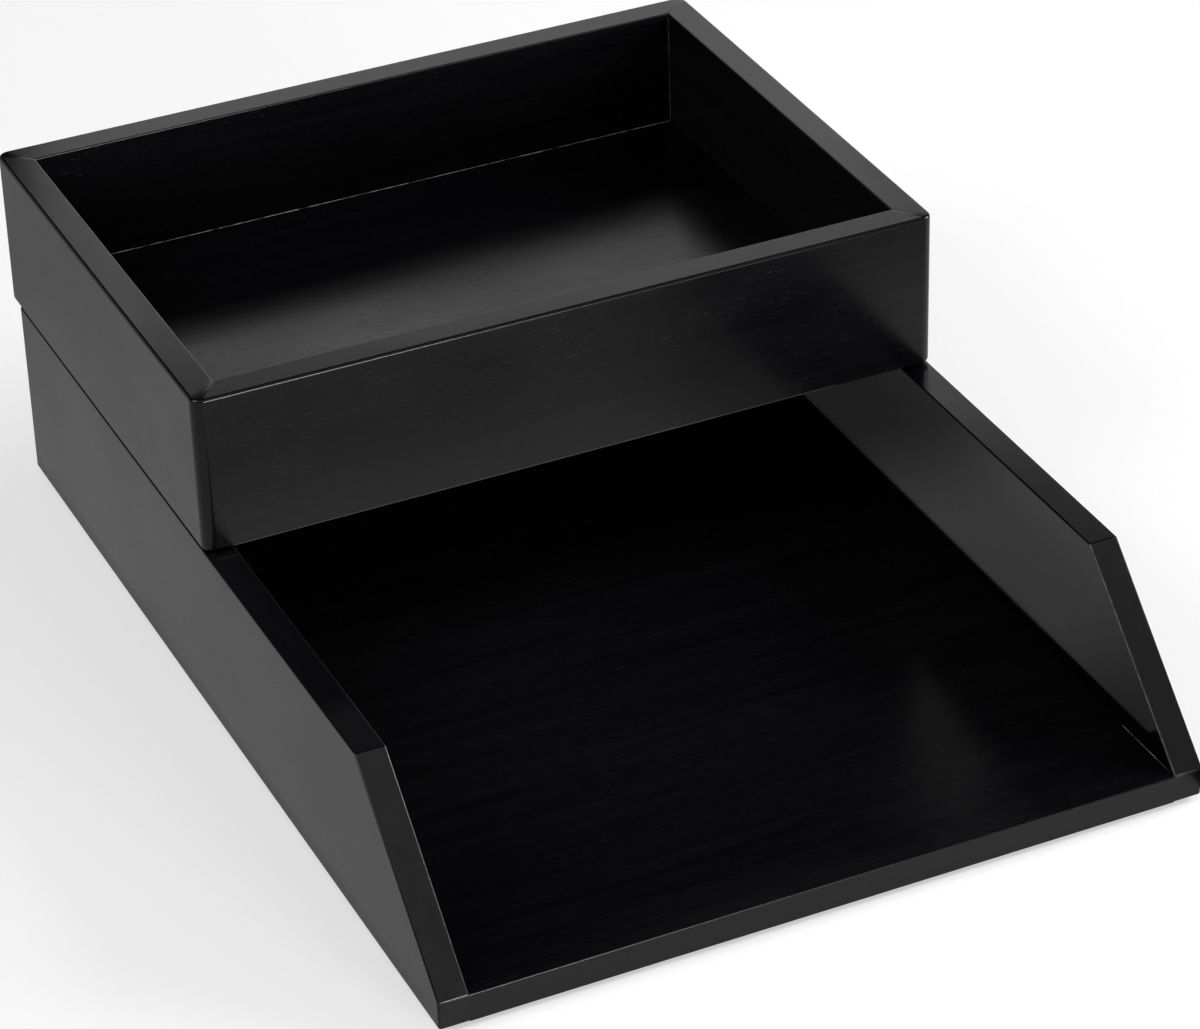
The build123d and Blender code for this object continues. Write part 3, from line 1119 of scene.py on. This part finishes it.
class DESKTRAYS_OT_glue_lines(bpy.types.Operator):
    """Lay the dried glue that shows along some joints of both trays"""

    bl_idname = "desk_trays.glue_lines"
    bl_label = "Dried glue"

    def execute(self, context):
        joints = context.scene.desk_trays.joints
        tree, material = glue_line_tree(), dried_glue()
        left, right = span("box_left_wall")[1].x, span("box_right_wall")[0].x
        rear = span("box_rear_wall")[0].y
        floor, top = span("box_floor_panel")[1].z, span("box_rear_wall")[1].z
        base_low, base_high = span("tray_base_board")
        wall = span("tray_right_side")[0].x
        spill = Vector((0, -0.35 * MM, 0.1 * MM))
        floor_lines = (
            ((left, rear, floor), (right, rear, floor)),
            (Vector((left + MM, rear, floor)) + spill,
             Vector((left + 14 * MM, rear, floor)) + spill),
        )
        corner_lines = (((right, rear, floor), (right, rear, top - 2 * MM)),)
        tray_lines = (
            ((wall, base_low.y + 2 * MM, base_high.z), (wall, base_low.y + 30 * MM, base_high.z)),
        )
        for seed, (name, body, lines, thick) in enumerate((
            ("box_floor_glue", "supply_box", floor_lines, 1.0),
            ("box_corner_glue", "supply_box", corner_lines, 0.45),
            ("tray_glue", "letter_tray", tray_lines, 0.8),
        )):
            paths = bmesh.new()
            for start, end in lines:
                paths.edges.new((paths.verts.new(start), paths.verts.new(end)))
            glue = grown(
                name, tree, paths, seed=seed + 5, bead_radius=joints.bead_radius * thick,
                fleck_spacing=joints.fleck_spacing, material=material,
            )
            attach(glue, body)
        return {"FINISHED"}


def soft_light(name, direction, distance, size, watts):
    """A soft light that faces the trays from a direction."""
    data = bpy.data.lights.new(name, "AREA")
    data.shape = "RECTANGLE"
    data.size, data.size_y = size
    data.energy = watts
    light = bpy.data.objects.new(name, data)
    bpy.context.scene.collection.objects.link(light)
    direction = Vector(direction).normalized()
    light.location = direction * distance
    light.rotation_euler = direction.to_track_quat("Z", "Y").to_euler()


def painted_reflection_card(name, brightness, *fades):
    """A card with a glow of its own: a painted reflection for the lacquer to mirror.

    Each fade is an axis, the place along it where the card is still full bright, the place
    where it has faded, and the share that is left there. The card's back shows nothing.
    """
    material, tree = new_material(name)
    axes = node(tree, "ShaderNodeSeparateXYZ", {0: object_place(tree)}).outputs
    # Each fade paints shade into the reflection
    for axis, full, faded, left in fades:
        fade = ranged(tree, axes[axis], full, faded, 1.0, left, interpolation_type="SMOOTHSTEP")
        brightness = math_node(tree, "MULTIPLY", fade, brightness)
    cloth = node(tree, "ShaderNodeEmission", {"Color": (1, 1, 1, 1), "Strength": brightness})
    back = node(tree, "ShaderNodeNewGeometry").outputs["Backfacing"]
    clear = node(tree, "ShaderNodeBsdfTransparent")
    one_sided = node(tree, "ShaderNodeMixShader", {0: back, 1: cloth, 2: clear})
    node(tree, "ShaderNodeOutputMaterial", {"Surface": one_sided})
    return material


def flag(name, rows, material):
    """A card through rows of points, which only reflections in the lacquer see."""
    bm = bmesh.new()
    grid = [[bm.verts.new(point) for point in row] for row in rows]
    for below, above in zip(grid, grid[1:]):
        for j in range(len(below) - 1):
            bm.faces.new((below[j], below[j + 1], above[j + 1], above[j]))
    card = mesh_object(name, bm)
    card.data.materials.append(material)
    for ray in ("camera", "diffuse", "transmission", "volume_scatter", "shadow"):
        setattr(card, "visible_" + ray, False)


def level_card(name, low, high, height, material):
    """A card that lies level between two corners and faces up."""
    rows = [[(x, y, height) for x in (low[0], high[0])] for y in (low[1], high[1])]
    flag(name, rows, material)


def dome(radius, azimuths, elevations):
    """Rows of points on a sphere, in degrees: azimuths clockwise from the rear, elevations up
    from the floor."""
    def steps(ends, count):
        return [math.radians(ends[0] + (ends[1] - ends[0]) * i / count) for i in range(count + 1)]

    return [[
        (radius * math.sin(azimuth) * math.cos(elevation),
         radius * math.cos(azimuth) * math.cos(elevation),
         radius * math.sin(elevation))
        for azimuth in steps(azimuths, 2 * DOME_STEPS)
    ] for elevation in steps(elevations, DOME_STEPS)]


def put_up_painted_reflections():
    """Painted reflections that only the lacquer mirrors: a glowing white card behind the trays, a
    grey glow high in front of them, grey glows that lie beside and in them, and black all round."""
    outline = (
        (-0.005, 0.42), (0.20, 0.465), (0.34, 0.50), (0.42, 0.475), (0.50, 0.465), (1.40, 0.43),
    )
    white_rows = [[(x, CARD_Y, -0.05) for x, z in outline], [(x, CARD_Y, z) for x, z in outline]]
    flag("flag_card", white_rows, painted_reflection_card("white_card", 1.08, (2, 0.37, 0.31, 0.85)))
    flag("flag_scrim", dome(2.8, (110, 250), (38, 75)),
         painted_reflection_card("grey_scrim", 0.56, (0, 0.85, 1.3, 0.7)))
    flag("flag_rear_left", dome(2.9, (300, 345), (0, 26)), painted_reflection_card("dim_scrim", 0.3))
    flag("flag_dome", dome(3.0, (0, 360), (-1, 89)), painted_reflection_card("black_velvet", 0.0))
    # Painted reflections of the floor beside the trays: dimmed glows, darker towards the rear on
    # the left and towards the front and near the trays on the right, as a painted shadow
    level_card("card_left", (-1.0, -0.5), (-0.126, 1.0), SIDE_CARD_HEIGHT,
               painted_reflection_card("grey_card_left", 0.44, (1, 0.15, 0.32, 0.8)))
    level_card("card_right", (0.126, -0.30), (0.6, 0.1), SIDE_CARD_HEIGHT, painted_reflection_card(
        "grey_card_right", 0.65, (1, -0.145, -0.19, 0.35), (0, 0.182, 0.150, 0.05),
    ))
    # A painted reflection of a stack of paper in the tray, darker towards its front, its rear and
    # its right side as painted shade
    level_card("card_middle", (-0.108, -0.155), (0.1115, 0.15), PAINTED_SHEET_HEIGHT, painted_reflection_card(
        "grey_card_middle", 0.67,
        (1, -0.08, -0.145, 0.45), (1, -0.03, 0.045, 0.33), (0, 0.05, 0.095, 0.52),
    ))


def set_camera(scene, lens):
    """The photograph's camera."""
    back = (Vector(CAMERA_PLACE) - Vector(CAMERA_TARGET)).normalized()
    right = Vector((0, 0, 1)).cross(back).normalized()
    up = back.cross(right)
    turned = Matrix((right, up, back)).transposed() @ Matrix.Rotation(CAMERA_ROLL, 3, "Z")
    data = bpy.data.cameras.new("photograph_camera")
    data.lens = lens
    data.sensor_width = SENSOR_WIDTH
    data.clip_start, data.clip_end = 0.05, 30.0
    camera = bpy.data.objects.new("photograph_camera", data)
    scene.collection.objects.link(camera)
    camera.matrix_world = Matrix.Translation(CAMERA_PLACE) @ turned.to_4x4()
    scene.camera = camera


class DESKTRAYS_OT_stage(bpy.types.Operator):
    """Set up the pale floor, the soft studio light and the photograph's camera"""

    bl_idname = "desk_trays.stage"
    bl_label = "Studio"

    def execute(self, context):
        scene, stage = context.scene, context.scene.desk_trays.stage
        disc = bmesh.new()
        bmesh.ops.create_circle(disc, cap_ends=True, segments=96, radius=FLOOR_RADIUS)
        floor = mesh_object("studio_floor", disc)
        floor.location.z = -FLOOR_DROP
        floor.data.materials.append(painted_floor(stage.floor_colour, stage.mirrored))

        world = bpy.data.worlds.new("white_studio")
        world.use_nodes = True
        tree = world.node_tree
        tree.nodes.clear()
        strength = ranged(tree, seen_as_background(tree), 0.0, 1.0, stage.ambient, 1.0)
        white = node(tree, "ShaderNodeBackground", {"Color": (1, 1, 1, 1), "Strength": strength})
        node(tree, "ShaderNodeOutputWorld", {"Surface": white})
        scene.world = world

        soft_light("strip_light", (0.17, -0.97, 0.14), 1.9, (0.55, 0.36), stage.strip_power)
        soft_light("right_light", (0.84, -0.14, 0.52), 1.8, (0.9, 0.9), stage.right_power)
        soft_light("left_light", (-0.75, -0.10, 0.65), 1.8, (0.9, 0.9), stage.left_power)
        put_up_painted_reflections()
        set_camera(scene, stage.lens)
        scene.view_settings.view_transform = "Standard"
        return {"FINISHED"}


STEPS = (
    DESKTRAYS_OT_stage,
    DESKTRAYS_OT_box_walls,
    DESKTRAYS_OT_box_floor,
    DESKTRAYS_OT_tray_sides,
    DESKTRAYS_OT_tray_back,
    DESKTRAYS_OT_tray_base,
    DESKTRAYS_OT_tenons,
    DESKTRAYS_OT_felt_discs,
    DESKTRAYS_OT_glue_lines,
)


class DESKTRAYS_PT_panel(bpy.types.Panel):
    """The steps that build the trays, in order, with their settings"""

    bl_idname = "DESKTRAYS_PT_panel"
    bl_label = "Desk trays"
    bl_space_type = "VIEW_3D"
    bl_region_type = "UI"
    bl_category = "Desk trays"

    def draw(self, context):
        settings = context.scene.desk_trays
        for step in STEPS:
            self.layout.operator(step.bl_idname)
        for group in ("tray", "box", "joints", "felt", "finish", "stage"):
            part = getattr(settings, group)
            column = self.layout.column(align=True)
            column.label(text=group.capitalize())
            for name in type(part).__annotations__:
                column.prop(part, name)


CLASSES = (
    LetterTraySettings, SupplyBoxSettings, JointSettings, FeltSettings, FinishSettings,
    StageSettings, DeskTraySettings, *STEPS, DESKTRAYS_PT_panel,
)


def register():
    for cls in CLASSES:
        bpy.utils.register_class(cls)
    bpy.types.Scene.desk_trays = PointerProperty(
        name="Desk trays", description="Sizes and finishes of the trays", type=DeskTraySettings,
    )


def unregister():
    del bpy.types.Scene.desk_trays
    for cls in reversed(CLASSES):
        bpy.utils.unregister_class(cls)


def main():
    register()
    for step in STEPS:
        category, name = step.bl_idname.split(".")
        getattr(getattr(bpy.ops, category), name)()


if __name__ == "__main__":
    main()
